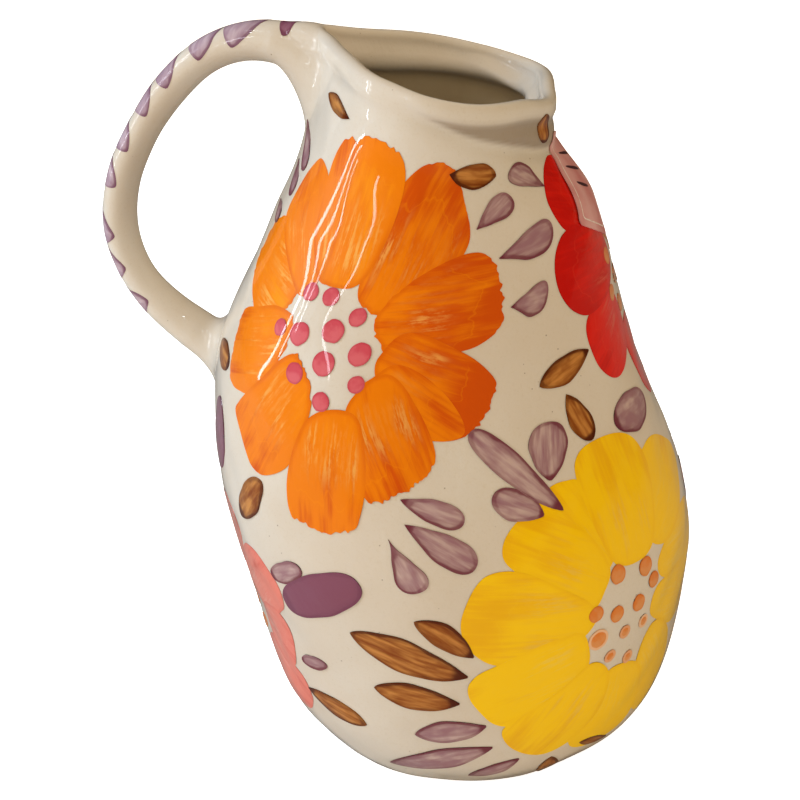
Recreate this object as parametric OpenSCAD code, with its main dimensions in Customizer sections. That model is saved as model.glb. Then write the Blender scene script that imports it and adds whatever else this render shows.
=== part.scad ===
// A ceramic pitcher: a pear-shaped vessel with a wavy rolled rim, a pulled loop handle that is
// joined to it with two fillets of clay, an unglazed foot ring, and a blank paper label.
// Frame: the origin is the centre of the face that it stands on, and +Z is up. +X points to the
// spout and -X to the handle, and the XZ plane is the plane of symmetry. Sizes are in mm.

/* [Vessel] */
// Height of the wall at the mean level of the wavy rim
vessel_h = 250; // [230:1:270]
// Widest diameter of the belly
belly_d = 170; // [156:1:184]
// Thickness of the wall and of the rolled rim
wall_t = 5; // [4:0.5:6]
// Thickness of the floor
floor_t = 8; // [6:0.5:10]
// Drop of the rim from the handle down to the spout
rim_drop = 25; // [15:1:30]

/* [Foot ring] */
// Outer diameter of the foot ring
foot_d = 106; // [90:1:110]
// Width of the band that it stands on
foot_band = 8; // [5:1:12]
// Height of the foot ring below the vessel
foot_h = 2; // [1.5:0.5:3]

/* [Handle] */
// Thickness of the handle where it is thinnest
grip_t = 12; // [10:0.5:14]
// Sideways width of the handle over its thickness
grip_ratio = 1.15; // [1:0.05:1.4]
// How far each joint spreads past the handle at the wall
fillet_t = 6; // [3:0.5:8]

/* [Label] */
// Width of the label round the neck
label_w = 27; // [20:1:32]
// Height of the label along the neck
label_h = 46; // [24:1:50]
// Thickness of the label
label_t = 0.4; // [0.3:0.1:0.8]

/* [Hidden] */

glaze = [0.90, 0.87, 0.81];
bare_clay = [0.80, 0.66, 0.52];
paper = [0.93, 0.88, 0.86];

belly_r = belly_d / 2;
seg_around = 64;
lip_seg = 4;

// Stations of the wall: height over vessel_h, radius over belly_r, lean to the spout over belly_r
WALL = [
    [0.00, 0.675, 0.00],
    [0.04, 0.780, 0.02],
    [0.12, 0.900, 0.02],
    [0.24, 0.960, 0.02],
    [0.38, 1.000, -0.02],
    [0.52, 0.945, -0.10],
    [0.66, 0.840, -0.13],
    [0.78, 0.700, -0.07],
    [0.87, 0.595, -0.05],
    [0.94, 0.525, -0.03],
    [1.00, 0.480, -0.01]
];
// Rim: angle from the spout, radius over belly_r, and height over rim_drop
RIM = [
    [0, 0.450, -0.47],
    [30, 0.470, -0.36],
    [60, 0.570, -0.26],
    [95, 0.535, 0.05],
    [125, 0.440, 0.27],
    [148, 0.415, 0.37],
    [166, 0.450, 0.46],
    [180, 0.505, 0.53]
];
// Height over vessel_h where the round neck starts to turn into the wavy rim
rim_start = 0.82;

// Middle line of the handle, in even steps: x over belly_r, z over vessel_h, and thickness over grip_t
HANDLE = [
    [0, -0.44, 0.995, 1.50],
    [1, -0.66, 1.030, 1.22],
    [2, -0.98, 1.018, 1.02],
    [3, -1.31, 0.925, 1.00],
    [4, -1.51, 0.795, 1.00],
    [5, -1.45, 0.680, 1.06],
    [6, -1.20, 0.600, 1.30],
    [7, -0.90, 0.530, 1.75]
];
handle_rings = 40;
handle_sides = 20;
end_rings = 14;
// Stations of the handle's middle line where the joints end and the plain handle starts
upper_joint_u = 1.2;
lower_joint_u = 5.75;

// Where the label's middle lies: angle from the spout, and height over vessel_h
label_angle = 5;
label_z = 0.864;
label_tilt = 25;
// Height share, radius of the neck behind the label over belly_r
LABEL_R = [[0.81, 0.67], [0.97, 0.453]];
label_cells = 8;

// Value of column c at x on a smooth curve through the rows of p, whose column 0 rises
function slope(p, i, c) =
    let (a = p[max(i - 1, 0)], b = p[min(i + 1, len(p) - 1)])
    (b[c] - a[c]) / (b[0] - a[0]);
function curve(p, x, c) =
    let (
        i = max([for (k = [0 : len(p) - 2]) if (k == 0 || x >= p[k][0]) k]),
        step = p[i + 1][0] - p[i][0],
        t = (x - p[i][0]) / step
    )
    p[i][c] * (1 + 2 * t) * (1 - t) ^ 2 + p[i + 1][c] * t ^ 2 * (3 - 2 * t)
    + step * slope(p, i, c) * t * (1 - t) ^ 2 - step * slope(p, i + 1, c) * t ^ 2 * (1 - t);
function ease(t) = let (s = min(max(t, 0), 1)) s * s * (3 - 2 * s);
function unit(v) = v / norm(v);

// The rim's rows, with a mirrored row at each end so that the curve crosses the XZ plane square
RIM_LOOP = concat([[-RIM[1][0], RIM[1][1], RIM[1][2]]], RIM, [[360 - RIM[6][0], RIM[6][1], RIM[6][2]]]);
function rim_value(a, c) = curve(RIM_LOOP, abs((a + 540) % 360 - 180), c);

// Point of the outer skin at height share s and angle a from the spout
function skin(s, a) =
    let (
        t = ease((s - rim_start) / (1 - rim_start)),
        r = belly_r * ((1 - t) * curve(WALL, s, 1) + t * rim_value(a, 1)),
        lean = belly_r * curve(WALL, s, 2)
    )
    [lean + r * cos(a), r * sin(a), s * (vessel_h - wall_t / 2) + t * rim_drop * rim_value(a, 2)];
// Unit vectors of the skin: up along the wall, and out of it
function up(s, a) = unit(skin(s + 0.004, a) - skin(s - 0.004, a));
function out(s, a) = unit(cross(skin(s, a + 1) - skin(s, a - 1), up(s, a)));

// Height shares of the rings, closer together where the wall bends
foot_s = foot_h / vessel_h;
OUTER_S = [foot_s, 0.02, 0.04, 0.07, 0.12, 0.18, 0.24, 0.31, 0.38, 0.45, 0.52, 0.59, 0.66, 0.72,
    0.78, 0.82, 0.86, 0.89, 0.92, 0.95, 0.975, 1];
INNER_S = [1, 0.975, 0.95, 0.92, 0.88, 0.84, 0.78, 0.72, 0.66, 0.59, 0.52, 0.45, 0.38, 0.31, 0.24,
    0.18, 0.12, 0.09];
ANGLES = [for (k = [0 : seg_around - 1]) k * 360 / seg_around];

function outer_ring(s) = [for (a = ANGLES) skin(s, a)];
function inner_ring(s) = [for (a = ANGLES) skin(s, a) - wall_t * out(s, a)];
function lip_ring(turn) = [for (a = ANGLES)
    skin(1, a) + wall_t / 2 * ((cos(turn) - 1) * out(1, a) + sin(turn) * up(1, a))];
// Ring of the floor, at a share of the way out to the wall's lowest inner ring
function floor_ring(share, z) = [for (p = inner_ring(0.09)) [p.x * share, p.y * share, z]];

// A closed solid skinned over rings that have the same number of points, with flat end caps
module loft(rings) {
    n = len(rings[0]);
    last = len(rings) - 1;
    polyhedron(
        points = [for (ring = rings) each ring],
        faces = concat(
            [[for (k = [0 : n - 1]) k]],
            [[for (k = [n - 1 : -1 : 0]) last * n + k]],
            [for (i = [0 : last - 1], k = [0 : n - 1])
                let (j = (k + 1) % n)
                each [[i * n + k, (i + 1) * n + k, (i + 1) * n + j], [i * n + k, (i + 1) * n + j, i * n + j]]]
        ),
        convexity = 6
    );
}

module vessel() {
    inside_z = foot_h + floor_t;
    color(glaze)
        loft(concat(
            [for (s = OUTER_S) outer_ring(s)],
            [for (k = [1 : lip_seg - 1]) lip_ring(180 * k / lip_seg)],
            [for (s = INNER_S) inner_ring(s)],
            [floor_ring(0.94, inside_z + 5.5), floor_ring(0.82, inside_z + 1.5), floor_ring(0.6, inside_z)]
        ));
}

// The space that the vessel fills and encloses, carried up past the rim
module vessel_core() {
    top = outer_ring(1);
    loft(concat(
        [for (s = OUTER_S) outer_ring(s)],
        [[for (p = top) p + [0, 0, 30]]]
    ));
}

module foot_ring() {
    color(bare_clay)
        difference() {
            cylinder(h = foot_h, d = foot_d, $fn = 96);
            translate([0, 0, -1])
                cylinder(h = foot_h + 2, d = foot_d - 2 * foot_band, $fn = 96);
        }
}

// Ring number u of the handle, made thicker by extra and moved down by drop
function handle_point(u) = [belly_r * curve(HANDLE, u, 1), 0, vessel_h * curve(HANDLE, u, 2)];
function handle_ring(u, extra = 0, drop = 0) =
    let (
        along = unit(handle_point(u + 0.02) - handle_point(u - 0.02)),
        side = cross([0, 1, 0], along),
        r = grip_t / 2 * curve(HANDLE, u, 3) + extra
    )
    [for (k = [0 : handle_sides - 1])
        let (a = k * 360 / handle_sides)
        handle_point(u) + side * r * cos(a) + [0, r * grip_ratio * sin(a), -drop]];

// A collar of clay that spreads the handle's end over the wall, from station u_wall inside the
// wall to station u_grip, where it meets the handle face to face
module handle_end(u_wall, u_grip, drop) {
    low = min(u_wall, u_grip);
    high = max(u_wall, u_grip);
    color(glaze)
        // resize() with zeros keeps the size, and makes one mesh of what it holds
        resize([0, 0, 0]) difference() {
            loft([for (k = [0 : end_rings])
                let (u = low + (high - low) * k / end_rings, share = (u - u_grip) / (u_wall - u_grip))
                handle_ring(u, fillet_t * share ^ 2, drop * share ^ 2)]);
            vessel_core();
        }
}

module handle() {
    color(glaze)
        loft([for (k = [0 : handle_rings])
            handle_ring(upper_joint_u + (lower_joint_u - upper_joint_u) * k / handle_rings)]);
}

module upper_handle_joint() {
    handle_end(0.15, upper_joint_u, 4);
}

module lower_handle_joint() {
    handle_end(6.9, lower_joint_u, 1);
}

module paper_label() {
    // A flat point of the label, x and y from its middle, as a height share and an angle
    function place(x, y) =
        let (s = label_z + 0.9 * (y * cos(label_tilt) - x * sin(label_tilt)) / vessel_h)
        [s, label_angle + (x * cos(label_tilt) + y * sin(label_tilt))
            / (belly_r * lookup(s, LABEL_R)) * 180 / PI];
    inside = [for (i = [0 : label_cells]) [for (j = [0 : label_cells])
        place(label_w * (j / label_cells - 1 / 2), label_h * (i / label_cells - 1 / 2))]];
    function lifted(lift) = [for (row = inside) [for (q = row) skin(q[0], q[1]) + lift * out(q[0], q[1])]];
    n = label_cells + 1;
    function cell(i, j) = i * n + j;
    under = n * n;
    color(paper)
        polyhedron(
            points = [for (grid = [lifted(label_t + 0.2), lifted(0.2)]) for (row = grid) each row],
            faces = concat(
                [for (i = [0 : label_cells - 1], j = [0 : label_cells - 1])
                    each [[cell(i, j), cell(i + 1, j + 1), cell(i, j + 1)],
                        [cell(i, j), cell(i + 1, j), cell(i + 1, j + 1)]]],
                [for (i = [0 : label_cells - 1], j = [0 : label_cells - 1])
                    each [[under + cell(i, j), under + cell(i, j + 1), under + cell(i + 1, j + 1)],
                        [under + cell(i, j), under + cell(i + 1, j + 1), under + cell(i + 1, j)]]],
                [for (k = [0 : label_cells - 1], low = [0, 1])
                    let (
                        end = low * label_cells,
                        p = low == 1 ? cell(end, k) : cell(end, k + 1),
                        q = low == 1 ? cell(end, k + 1) : cell(end, k)
                    )
                    [p, under + p, under + q, q]],
                [for (k = [0 : label_cells - 1], low = [0, 1])
                    let (
                        end = low * label_cells,
                        p = low == 1 ? cell(k + 1, end) : cell(k, end),
                        q = low == 1 ? cell(k, end) : cell(k + 1, end)
                    )
                    [p, under + p, under + q, q]]
            )
        );
}

vessel();
foot_ring();
handle();
upper_handle_joint();
lower_handle_joint();
paper_label();
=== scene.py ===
"""A hand-painted ceramic pitcher: a glazed body and handle, thin films of paint that lie on the
glaze as brush strokes, a bare clay foot and a small shop label. Lengths are in millimetres until
a mesh is made, and angles in degrees. Heights on the vessel are shares of VESSEL_H, and angles
round it are counted from the spout."""
from math import cos, pi, radians, sin

import bpy
import numpy as np
from mathutils import Matrix, Vector, geometry


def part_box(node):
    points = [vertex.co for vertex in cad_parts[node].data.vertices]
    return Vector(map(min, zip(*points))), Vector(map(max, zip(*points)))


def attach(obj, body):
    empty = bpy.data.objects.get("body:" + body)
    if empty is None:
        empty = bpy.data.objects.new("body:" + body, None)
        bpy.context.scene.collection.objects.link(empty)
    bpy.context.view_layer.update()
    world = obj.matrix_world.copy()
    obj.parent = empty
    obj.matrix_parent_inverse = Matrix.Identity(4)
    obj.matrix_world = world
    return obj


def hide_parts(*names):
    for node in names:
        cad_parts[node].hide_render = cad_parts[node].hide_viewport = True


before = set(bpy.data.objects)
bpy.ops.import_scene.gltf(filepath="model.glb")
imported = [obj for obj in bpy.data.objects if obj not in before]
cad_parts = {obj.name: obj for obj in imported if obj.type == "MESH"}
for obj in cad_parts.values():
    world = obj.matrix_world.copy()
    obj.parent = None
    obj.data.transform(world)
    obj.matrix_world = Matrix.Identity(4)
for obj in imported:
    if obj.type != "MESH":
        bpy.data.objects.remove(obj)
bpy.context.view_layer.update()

MM = 0.001

# ---------------------------------------------------------------- sizes, the same as part.scad's
VESSEL_LOW, VESSEL_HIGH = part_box("vessel")
BELLY_R = (VESSEL_HIGH[1] - VESSEL_LOW[1]) / 2 / MM
FOOT_H = VESSEL_LOW[2] / MM
VESSEL_H = 250
WALL_T = 5
FLOOR_T = 8
RIM_DROP = 25
RIM_START = 0.82
GRIP_T = 12
GRIP_RATIO = 1.15
LABEL_W, LABEL_H, LABEL_T = 27, 46, 0.4
LABEL_ANGLE, LABEL_HEIGHT, LABEL_TILT = 5, 0.864, 25
LABEL_GAP = 0.2      # from the glaze to the label's underside

# Height share, radius over BELLY_R, lean to the spout over BELLY_R
WALL = [
    (0.00, 0.675, 0.00), (0.04, 0.780, 0.02), (0.12, 0.900, 0.02), (0.24, 0.960, 0.02),
    (0.38, 1.000, -0.02), (0.52, 0.945, -0.10), (0.66, 0.840, -0.13), (0.78, 0.700, -0.07),
    (0.87, 0.595, -0.05), (0.94, 0.525, -0.03), (1.00, 0.480, -0.01),
]
# Angle from the spout, radius over BELLY_R, height over RIM_DROP
RIM = [
    (0, 0.450, -0.47), (30, 0.470, -0.36), (60, 0.570, -0.26), (95, 0.535, 0.05),
    (125, 0.440, 0.27), (148, 0.415, 0.37), (166, 0.450, 0.46), (180, 0.505, 0.53),
]
# Station, x over BELLY_R, z over VESSEL_H, thickness over GRIP_T
HANDLE = [
    (0, -0.44, 0.995, 1.50), (1, -0.66, 1.030, 1.22), (2, -0.98, 1.018, 1.02),
    (3, -1.31, 0.925, 1.00), (4, -1.51, 0.795, 1.00), (5, -1.45, 0.680, 1.06),
    (6, -1.20, 0.600, 1.30), (7, -0.90, 0.530, 1.75),
]


# ---------------------------------------------------------------- curves and the vessel's skin
def spline(rows, column, level_ends=False):
    """A smooth curve through one column of rows, level at its ends if asked."""
    xs = np.array([row[0] for row in rows], float)
    ys = np.array([row[column] for row in rows], float)
    count, step = len(xs), np.diff(xs)
    slope = np.diff(ys) / step
    matrix, right = np.eye(count), np.zeros(count)
    for i in range(1, count - 1):
        matrix[i, i - 1:i + 2] = step[i - 1], 2 * (step[i - 1] + step[i]), step[i]
        right[i] = 6 * (slope[i] - slope[i - 1])
    if level_ends:
        matrix[0, :2] = 2 * step[0], step[0]
        matrix[-1, -2:] = step[-1], 2 * step[-1]
        right[0], right[-1] = 6 * slope[0], -6 * slope[-1]
    bend = np.linalg.solve(matrix, right)

    def curve(x):
        x = np.asarray(x, float)
        i = np.clip(np.searchsorted(xs, x, side="right") - 1, 0, count - 2)
        a = (xs[i + 1] - x) / step[i]
        b = 1 - a
        lift = ((a ** 3 - a) * bend[i] + (b ** 3 - b) * bend[i + 1]) * step[i] ** 2 / 6
        return a * ys[i] + b * ys[i + 1] + lift
    return curve


wall_radius, wall_lean = spline(WALL, 1), spline(WALL, 2)
rim_radius, rim_height = spline(RIM, 1, True), spline(RIM, 2, True)
grip_x, grip_z, grip_size = spline(HANDLE, 1), spline(HANDLE, 2), spline(HANDLE, 3)


def ease(t):
    t = np.clip(t, 0, 1)
    return t * t * (3 - 2 * t)


def unit(v):
    return v / np.linalg.norm(v, axis=-1, keepdims=True)


def walked(path):
    """The distance walked at each point of a path."""
    return np.concatenate([[0], np.cumsum(np.linalg.norm(np.diff(path, axis=0), axis=1))])


def from_spout(a):
    """An angle as its distance from the spout on either side, from 0 to 180."""
    return np.abs((np.asarray(a, float) + 180) % 360 - 180)


def smooth_skin(s, a):
    """Points of the design's outer skin at height share s and angle a."""
    s, a = np.broadcast_arrays(np.asarray(s, float), np.asarray(a, float))
    away = from_spout(a)
    t = ease((s - RIM_START) / (1 - RIM_START))
    r = BELLY_R * ((1 - t) * wall_radius(s) + t * rim_radius(away))
    lean = BELLY_R * wall_lean(s)
    turn = np.radians(a)
    z = s * (VESSEL_H - WALL_T / 2) + t * RIM_DROP * rim_height(away)
    return np.stack([lean + r * np.cos(turn), r * np.sin(turn), z], -1)


def out_of(surface, s, a):
    """Unit vectors out of a surface."""
    round_it = surface(s, a + 0.5) - surface(s, a - 0.5)
    up_it = surface(s + 0.002, a) - surface(s - 0.002, a)
    return unit(np.cross(round_it, up_it))


# The potter's hand: shallow waves in the skin, each with a height, a wavelength and a direction
HAND_WAVES = [
    (0.28, 46, (0.8, 0.5, 0.3)), (0.20, 33, (-0.5, 0.7, 0.5)), (0.12, 22, (0.4, -0.6, 0.7)),
    (0.065, 15, (0.6, 0.4, -0.7)), (0.03, 10, (-0.3, 0.8, -0.5)),
]


def hand_wave(p):
    return sum(height * np.sin(2 * pi / length * (p @ unit(np.array(way))) + length)
               for height, length, way in HAND_WAVES)


# Angle from the spout and height share of the crease where the spout's collar leaves the neck
CREASE = [(0, 0.938), (20, 0.942), (39, 0.954), (64, 0.975), (80, 0.994), (100, 1.02), (180, 1.04)]


def above_crease(s, a):
    return s - np.interp(from_spout(a), *zip(*CREASE))


def collar(s, a):
    """How far the collar under the spout's lip, and the lip's roll, stand out in millimetres."""
    above = above_crease(s, a)
    fold = 0.5 * ease(above / 0.014 + 0.5) - 1.1 * np.exp(-((above + 0.012) / 0.015) ** 2)
    roll = 0.6 * ease((s - 0.980) / 0.010) - 0.5 * np.exp(-((s - 0.974) / 0.009) ** 2)
    return fold + roll


def shaded_glaze(s, a):
    """Share of a darker glaze colour between the crease and the lip, which stands in for shade."""
    return ease(above_crease(s, a) / 0.010 + 0.9) * ease((0.993 - s) / 0.012)


def skin(s, a, lift=0.0):
    p = smooth_skin(s, a)
    height = np.asarray(hand_wave(p) + collar(s, a) + lift)
    return p + out_of(smooth_skin, s, a) * height[..., None]


# Length along the wall from the foot, so that painting can be laid out in flat millimetres
_SHARES = np.linspace(0, 1, 801)
_PROFILE = np.stack([BELLY_R * wall_radius(_SHARES), _SHARES * (VESSEL_H - WALL_T / 2)], -1)
_LENGTHS = walked(_PROFILE)


def vessel_place(s0, a0):
    """A function from flat millimetres round the point at height share s0 and angle a0 to points
    and normals of the skin."""
    def place(x, y, lift):
        s = np.interp(np.interp(s0, _SHARES, _LENGTHS) + y, _LENGTHS, _SHARES)
        a = a0 + np.degrees(x / (BELLY_R * wall_radius(s)))
        return skin(s, a, lift), out_of(skin, s, a)
    return place


# ---------------------------------------------------------------- meshes
def put_in_scene(name, data):
    obj = bpy.data.objects.new(name, data)
    bpy.context.collection.objects.link(obj)
    return obj


def make_object(name, verts, faces, material, normals=None, attributes=()):
    """A smooth-shaded object that rides on the pitcher. verts are in millimetres."""
    mesh = bpy.data.meshes.new(name)
    mesh.from_pydata((np.asarray(verts) * MM).tolist(), [], faces)
    mesh.polygons.foreach_set("use_smooth", [True] * len(mesh.polygons))
    for label, values in attributes:
        layer = mesh.attributes.new(label, "FLOAT_VECTOR", "POINT")
        layer.data.foreach_set("vector", np.asarray(values, np.float32).ravel())
    mesh.materials.append(material)
    mesh.update()
    if normals is not None:
        mesh.normals_split_custom_set_from_vertices(normals.tolist())
    obj = put_in_scene(name, mesh)
    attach(obj, "root")
    return obj


def ring_faces(rings, around):
    """Quads between rings that each have the same number of points, with end caps."""
    first = tuple(range(around))
    return [
        (i * around + k, i * around + (k + 1) % around,
         (i + 1) * around + (k + 1) % around, (i + 1) * around + k)
        for i in range(rings - 1) for k in first
    ] + [first[::-1], tuple((rings - 1) * around + k for k in first)]


def sheet_faces(triangles, count, start=0):
    """Faces of a thin closed sheet with count points on top, from start on, and as many below."""
    sides = {(p, q) for tri in triangles for p, q in zip(tri, tri[1:] + tri[:1])}
    faces = triangles + [tuple(count + v for v in tri[::-1]) for tri in triangles]
    faces += [(q, p, count + p, count + q) for p, q in sorted(sides) if (q, p) not in sides]
    return [tuple(start + v for v in face) for face in faces]


# ---------------------------------------------------------------- shader helpers
def colour(red, green, blue):
    """A screen colour, from 0 to 255, as the linear colour that a shader takes."""
    def linear(v):
        v /= 255
        return v / 12.92 if v <= 0.04045 else ((v + 0.055) / 1.055) ** 2.4
    return linear(red), linear(green), linear(blue), 1.0


class Recipe:
    """A material under construction. Each method adds a node and returns its output."""

    def __init__(self, name, roughness, **sockets):
        self.material = bpy.data.materials.new(name)
        self.material.use_nodes = True
        self.tree = self.material.node_tree
        self.shader = self.tree.nodes["Principled BSDF"]
        self.shader.inputs["Roughness"].default_value = roughness
        for socket, value in sockets.items():
            self.shader.inputs[socket.replace("_", " ")].default_value = value

    def add(self, kind, inputs, output=0, **settings):
        node = self.tree.nodes.new(kind)
        for key, value in settings.items():
            setattr(node, key, value)
        for key, value in inputs.items():
            if isinstance(value, bpy.types.NodeSocket):
                self.tree.links.new(value, node.inputs[key])
            else:
                node.inputs[key].default_value = value
        return node.outputs[output]

    def math(self, operation, a, b=0.0):
        return self.add("ShaderNodeMath", {0: a, 1: b}, operation=operation)

    def times(self, a, b):
        return self.math("MULTIPLY", a, b)

    def plus(self, a, b):
        return self.math("ADD", a, b)

    def fade(self, x, start, end):
        """0 where x is at start and 1 where it is at end, smooth in between."""
        return self.add("ShaderNodeMapRange",
                        {"Value": x, "From Min": start, "From Max": end},
                        interpolation_type="SMOOTHSTEP")

    def mix(self, share, a, b):
        """Colour a where share is 0 and b where it is 1. Each is an output or a screen colour."""
        a, b = (colour(*v) if isinstance(v, tuple) else v for v in (a, b))
        return self.add("ShaderNodeMix", {0: share, 6: a, 7: b}, output=2, data_type="RGBA")

    def attribute(self, name):
        vector = self.add("ShaderNodeAttribute", {}, output=1, attribute_name=name)
        split = self.tree.nodes.new("ShaderNodeSeparateXYZ")
        self.tree.links.new(vector, split.inputs[0])
        return split.outputs

    def vector(self, x, y, z):
        return self.add("ShaderNodeCombineXYZ", {0: x, 1: y, 2: z})

    def surface_point(self):
        """The point in millimetres."""
        place = self.add("ShaderNodeTexCoord", {}, output=3)
        return self.add("ShaderNodeVectorMath", {0: place, "Scale": 1 / MM}, operation="SCALE")

    def noise(self, place, scale, detail=3.0, roughness=0.5):
        return self.add("ShaderNodeTexNoise",
                        {"Vector": place, "Scale": scale, "Detail": detail, "Roughness": roughness})

    def bump(self, height, depth):
        """Bumps of a depth in millimetres."""
        normal = self.add("ShaderNodeBump", {"Height": height, "Distance": depth * MM})
        self.tree.links.new(normal, self.shader.inputs["Normal"])

    def done(self, base):
        self.tree.links.new(base, self.shader.inputs["Base Color"])
        return self.material


GLAZE_GLOSS = dict(roughness=0.35, Coat_Weight=1.0, Coat_Roughness=0.03, Coat_IOR=1.3,
                   Specular_IOR_Level=0.1)


def glaze_ripple(recipe):
    """The faint ripple of a thick glaze, on the glaze and on the paint under it alike."""
    place = recipe.surface_point()
    fine = recipe.times(recipe.noise(place, 0.45), 0.25)
    ripple = recipe.plus(recipe.noise(place, 0.10, 2.0), fine)
    recipe.bump(ripple, 0.35)


# ---------------------------------------------------------------- materials
def glaze():
    """Milky cream glaze, a little warmer and cooler in places, with iron specks and painted shade.
    """
    r = Recipe("cream_glaze", **GLAZE_GLOSS)
    place = r.surface_point()
    cloud = r.fade(r.noise(place, 0.018, 2.0), 0.35, 0.65)
    base = r.mix(cloud, (220, 211, 196), (216, 204, 186))
    grain = r.fade(r.noise(place, 1.2, 4.0), 0.52, 0.75)
    base = r.mix(r.times(grain, 0.25), base, (204, 188, 162))
    from_speck = r.add("ShaderNodeTexVoronoi", {"Vector": place, "Scale": 0.22})
    speck = r.fade(from_speck, 0.075, 0.045)
    some = r.fade(r.noise(place, 0.05, 1.0), 0.50, 0.60)
    base = r.mix(r.times(r.times(speck, some), 0.6), base, (120, 95, 70))
    # Painted shade: a darker glaze colour inside below the band, under the spout's lip and on the
    # handle's inner side
    deep, shaded, _ = r.attribute("glaze")
    base = r.mix(deep, base, (208, 191, 160))
    base = r.mix(r.times(shaded, 0.7), base, (132, 110, 84))
    glaze_ripple(r)
    return r.done(base)


def bare_clay():
    r = Recipe("bare_clay", 0.9)
    place = r.surface_point()
    mottled = r.mix(r.fade(r.noise(place, 0.25, 6.0, 0.7), 0.35, 0.65),
                    (205, 178, 148), (178, 146, 114))
    sand = r.fade(r.noise(place, 2.5, 2.0), 0.62, 0.72)
    r.bump(r.noise(place, 2.0, 5.0, 0.7), 0.15)
    return r.done(r.mix(sand, mottled, (120, 92, 70)))


def label_paper():
    r = Recipe("label_film", 0.35, Specular_IOR_Level=0.4)
    place = r.surface_point()
    cloud = r.fade(r.noise(place, 0.06, 3.0), 0.3, 0.7)
    r.bump(r.noise(place, 0.2, 3.0), 0.2)
    return r.done(r.mix(cloud, (224, 172, 170), (204, 124, 124)))


def label_ink():
    r = Recipe("label_ink", 0.5)
    worn = r.fade(r.noise(r.surface_point(), 0.9, 4.0), 0.45, 0.75)
    return r.done(r.mix(worn, (236, 222, 214), (214, 180, 174)))


class Paint(Recipe):
    """Glossy paint, with the marks that film() leaves on every stroke."""

    def __init__(self, name):
        super().__init__(name, **GLAZE_GLOSS)
        self.along, self.across, self.seed = self.attribute("stroke")
        self.share, self.edge, self.tone = self.attribute("paint")
        glaze_ripple(self)

    def streaks(self, along_scale, across_scale, detail, roughness=0.5):
        """Noise that follows the stroke and differs from one stroke to the next."""
        place = self.vector(self.times(self.along, along_scale),
                            self.times(self.across, across_scale), self.times(self.seed, 17.3))
        return self.noise(place, 1.0, detail, roughness)


def petal_paint(name, deep, full, light, pale, paleness=0.75, rim=0.4):
    """Petal colour laid with a wide brush. Deep and full are the colours of a thick stroke, light
    that of a thin one, and pale that of glaze that shows between the hairs."""
    r = Paint(name)
    across, share, edge, tone = r.across, r.share, r.edge, r.tone
    hairs = r.streaks(0.05, 0.8, 4.0, 0.6)
    wash = r.streaks(0.05, 0.16, 2.0)
    dapple = r.streaks(0.35, 0.9, 4.0, 0.7)

    # The tone lays the paint thicker and deeper; on the right-hand orange petals that deeper tone
    # is painted shade
    thick = r.plus(r.plus(r.times(share, 0.25), r.times(wash, 0.9)), r.plus(tone, -0.125))
    thick = r.plus(thick, r.times(r.plus(hairs, -0.5), 0.5))
    base = r.mix(r.fade(thick, 0.0, 0.36), light, full)
    base = r.mix(r.fade(thick, 0.46, 0.84), base, deep)

    # The brush runs dry in the middle of the stroke, and hairs leave pale lines
    middle = r.times(r.fade(share, 0.02, 0.18), r.fade(share, 0.72, 0.38))
    inside = r.fade(edge, 1.2, 4.2)
    dry = r.fade(r.plus(hairs, r.times(r.plus(dapple, -0.5), 0.5)), 0.44, 0.66)
    patch = r.fade(r.plus(wash, r.times(tone, -0.35)), 0.40, 0.62)
    dry = r.times(r.times(middle, inside), r.times(dry, r.plus(r.times(patch, 0.8), 0.15)))
    base = r.mix(r.times(dry, paleness), base, pale)

    # A second pass of the brush ends in a faint curved line near the tip
    bow = r.plus(share, r.times(r.times(across, across), 0.0009))
    line = r.math("ABSOLUTE", r.plus(bow, r.plus(-0.74, r.times(r.plus(wash, -0.5), 0.5))))
    base = r.mix(r.times(r.fade(line, 0.014, 0.004), r.times(inside, 0.2)), base, light)

    # Paint gathers at the edge of the stroke
    pool = r.fade(r.plus(edge, r.times(r.plus(hairs, -0.5), 1.4)), 1.9, 0.4)
    pool = r.times(pool, r.fade(share, 0.75, 0.25))
    return r.done(r.mix(r.times(pool, rim), base, deep))


def drop_paint(name, edge_colour, full, pale, tail_start=0.86):
    """A loaded brush pressed and pulled away: a pale streaky middle, a dark edge that is wider on
    one side, and a dark bead of paint at the tail."""
    r = Paint(name)
    across, share, edge, tone = r.across, r.share, r.edge, r.tone
    hairs = r.streaks(0.08, 0.5, 3.0)
    wash = r.streaks(0.12, 0.2, 2.0)
    base = r.mix(r.fade(hairs, 0.25, 0.75), full, pale)
    base = r.mix(r.fade(r.plus(wash, tone), 0.50, 0.85), base, full)
    # Paint runs to one side, where it pools in a soft edge
    side = r.plus(r.times(r.fade(across, -3.5, 3.5), 0.8), 0.2)
    deepening = r.times(r.fade(r.plus(edge, r.times(r.plus(hairs, -0.5), 2.0)), 3.2, 0.6), 0.35)
    base = r.mix(r.times(deepening, side), base, edge_colour)
    rim = r.fade(r.plus(edge, r.times(r.plus(wash, -0.5), 2.4)), 1.35, 0.6)
    base = r.mix(r.times(rim, r.plus(r.times(side, 0.5), 0.3)), base, edge_colour)
    tail = r.fade(share, tail_start, tail_start + 0.07)
    return r.done(r.mix(r.times(tail, 0.9), base, edge_colour))


def dot_paint(name, full, deep, light, halo):
    """A round dab, a little darker at its edge. Its tone is the share of a pale ring round it."""
    r = Paint(name)
    wash = r.streaks(0.3, 0.3, 3.0)
    base = r.mix(r.fade(r.plus(wash, r.times(r.across, 0.08)), 0.35, 0.7), light, full)
    base = r.mix(r.times(r.fade(r.edge, 0.9, 0.25), 0.4), base, deep)
    return r.done(r.mix(r.times(r.fade(r.edge, 1.1, 0.8), r.tone), base, halo))


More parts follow.
